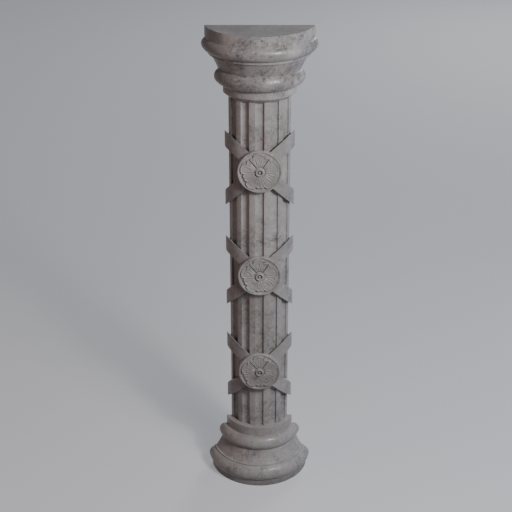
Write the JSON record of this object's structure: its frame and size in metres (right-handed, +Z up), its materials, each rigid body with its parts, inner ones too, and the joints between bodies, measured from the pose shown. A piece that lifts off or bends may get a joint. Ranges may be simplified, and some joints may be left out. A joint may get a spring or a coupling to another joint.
{
  "type": "engaged half column",
  "caption": "Flat-backed fluted stone half column with round moulded base and capital, and crossed bands carrying petalled rosettes on the shaft.",
  "frame": {"origin": "centre of the piece's box on the ground, under the middle of the base", "axes": "+Z up along the shaft, +X to the right seen from the front, +Y from the rounded front to the flat back that meets the wall"},
  "size_m": [0.5518, 0.2271, 2.481],
  "materials": {
    "marble": "satin",
    "marble_bands": "satin",
    "marble_rosettes": "satin"
  },
  "bodies": {
    "root": {"base": "marble", "shaft": "marble", "capital": "marble", "crossed_band_lower": "marble_bands", "rosette_lower": "marble_rosettes", "crossed_band_middle": "marble_bands", "rosette_middle": "marble_rosettes", "crossed_band_upper": "marble_bands", "rosette_upper": "marble_rosettes"}
  },
  "joints": []
}
